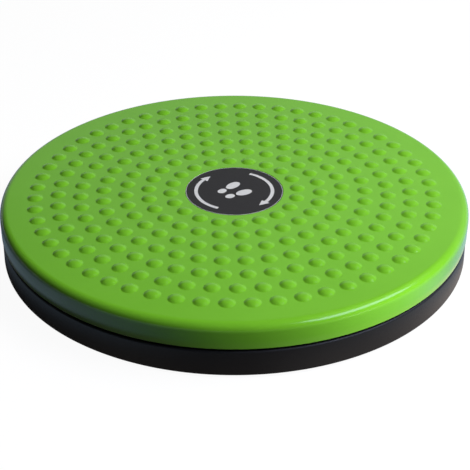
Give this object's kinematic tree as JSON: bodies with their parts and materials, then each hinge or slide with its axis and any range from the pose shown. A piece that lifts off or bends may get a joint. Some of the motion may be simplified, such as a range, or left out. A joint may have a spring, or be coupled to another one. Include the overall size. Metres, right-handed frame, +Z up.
{
  "type": "waist twisting disc",
  "caption": "Round twisting exercise disc: a bumped standing plate turns on a ball thrust bearing over a flat base with rubber feet.",
  "frame": {"origin": "on the turning axis, on the floor under the rubber feet", "axes": "+Z up along the turning axis, +Y towards the line on which every ring of bumps starts"},
  "size_m": [0.25, 0.25, 0.0308],
  "materials": {
    "green_plastic": "injection-moulded ABS, yellowish green, glossy with a faint moulded grain",
    "black_plastic": "injection-moulded polypropylene, black, satin",
    "printed_label": "self-adhesive vinyl disc, dark grey with two white turn arrows and a pale rim",
    "race_steel": "turned and hardened steel, lightly oiled",
    "ball_steel": "polished bearing steel",
    "cage_nylon": "natural nylon",
    "zinc_steel": "zinc-plated steel",
    "slip_plastic": "white acetal",
    "foot_rubber": "moulded black rubber"
  },
  "bodies": {
    "base": {"base_plate": "black_plastic", "lower_race": "race_steel", "centre_bolt": "zinc_steel", "bolt_washer": "zinc_steel", "lock_nut": "zinc_steel", "nut_washer": "zinc_steel", "thrust_washer": "slip_plastic", "rubber_foot_1": "foot_rubber", "rubber_foot_2": "foot_rubber", "rubber_foot_3": "foot_rubber", "rubber_foot_4": "foot_rubber", "rubber_foot_5": "foot_rubber", "rubber_foot_6": "foot_rubber"},
    "top": {"top_plate": "green_plastic", "centre_label": "printed_label", "upper_race": "race_steel", "hub_bush": "slip_plastic"},
    "cage": {"ball_cage": "cage_nylon", "ball_01": "ball_steel", "ball_02": "ball_steel", "ball_03": "ball_steel", "ball_04": "ball_steel", "ball_05": "ball_steel", "ball_06": "ball_steel", "ball_07": "ball_steel", "ball_08": "ball_steel", "ball_09": "ball_steel", "ball_10": "ball_steel", "ball_11": "ball_steel", "ball_12": "ball_steel", "ball_13": "ball_steel", "ball_14": "ball_steel", "ball_15": "ball_steel", "ball_16": "ball_steel", "ball_17": "ball_steel", "ball_18": "ball_steel", "ball_19": "ball_steel", "ball_20": "ball_steel", "ball_21": "ball_steel", "ball_22": "ball_steel", "ball_23": "ball_steel", "ball_24": "ball_steel"}
  },
  "joints": [
    {"name": "twist", "type": "hinge", "parent": "base", "child": "top", "pos_m": [0, 0, 0.02], "axis": [0, 0, 1], "continuous": true},
    {"name": "cage_turn", "type": "hinge", "parent": "base", "child": "cage", "pos_m": [0, 0, 0.02], "axis": [0, 0, 1], "continuous": true}
  ],
  "couplings": [
    {"joint": "cage_turn", "follows": "twist", "ratio": 0.5}
  ]
}
